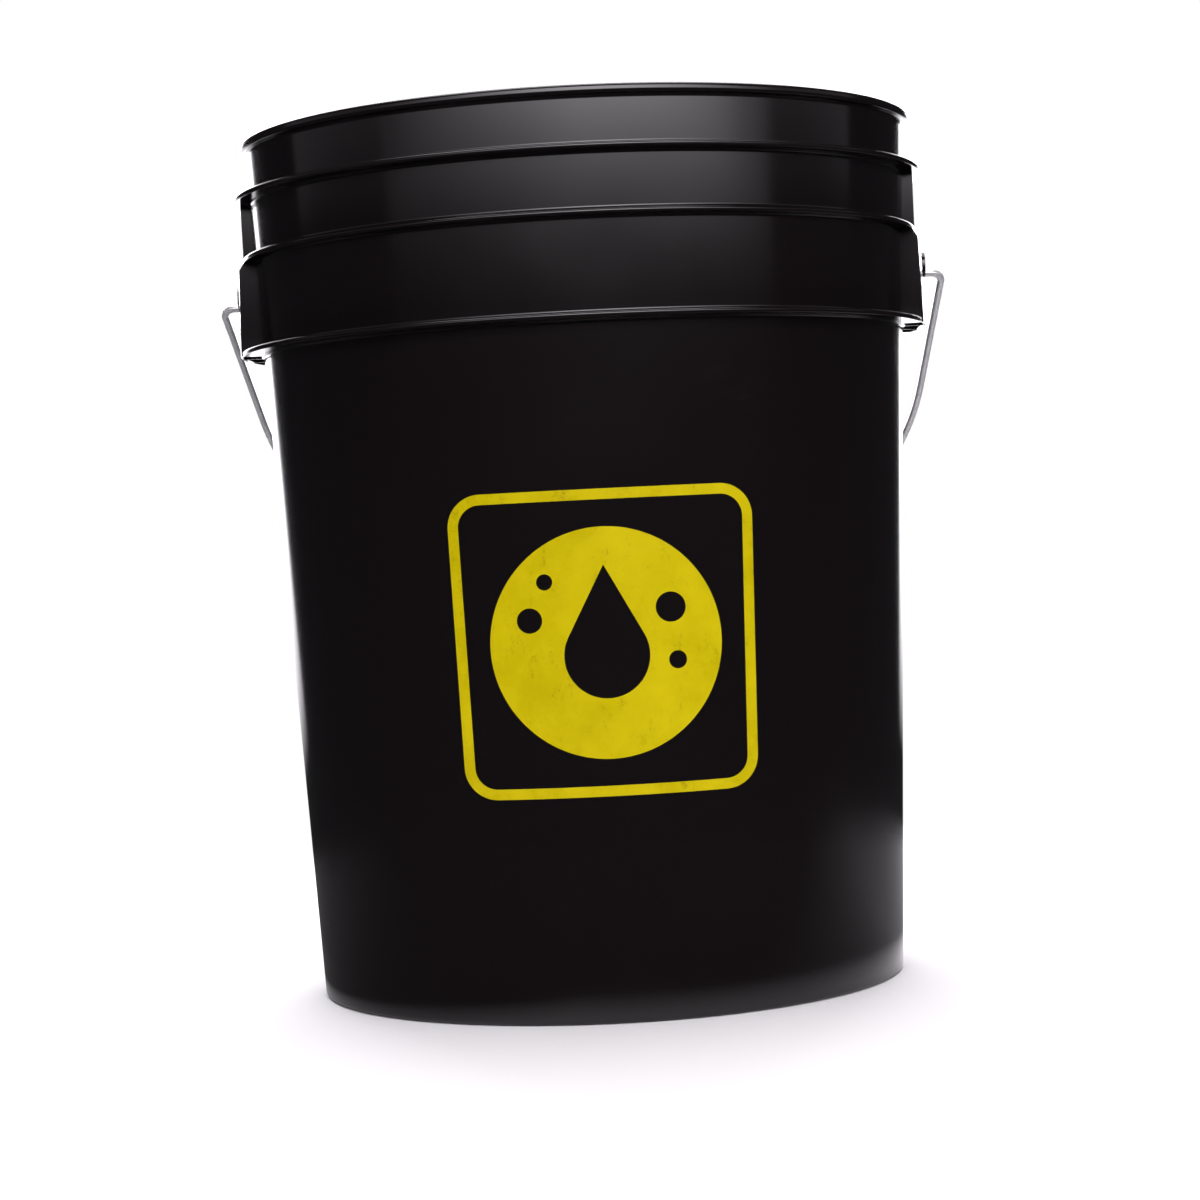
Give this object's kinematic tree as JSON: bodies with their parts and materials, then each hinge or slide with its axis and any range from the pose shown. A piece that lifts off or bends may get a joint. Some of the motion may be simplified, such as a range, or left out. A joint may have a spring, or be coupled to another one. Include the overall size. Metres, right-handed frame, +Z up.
{
  "type": "wash bucket",
  "caption": "Tapered round wash bucket with stiffening rings below the rim, moulded ears, a swinging wire bail with a turning hand grip, and a printed badge.",
  "frame": {"origin": "on the bucket's axis, in the plane of the foot ring that it stands on", "axes": "+Z up along the bucket's axis, X through both ears and the bail's pivots, -Y towards the badge, +Y towards the hanging bail"},
  "size_m": [0.3202, 0.3072, 0.37],
  "materials": {
    "body_plastic": "satin black polyethylene",
    "wire": "bright zinc-plated wire",
    "grip_plastic": "moulded black polyethylene",
    "badge_ink": "screen-printed yellow ink"
  },
  "bodies": {
    "bucket": {"bucket_body": "body_plastic", "printed_badge": "badge_ink"},
    "bail": {"bail_wire": "wire"},
    "grip": {"bail_grip": "grip_plastic"}
  },
  "joints": [
    {"name": "bail_swing", "type": "hinge", "parent": "bucket", "child": "bail", "pos_m": [0, 0, 0.3029], "axis": [1, 0, 0], "range_deg": [0, 257.3]},
    {"name": "grip_spin", "type": "hinge", "parent": "bail", "child": "grip", "pos_m": [0, 0.14614, 0.18609], "axis": [1, 0, 0], "continuous": true}
  ]
}
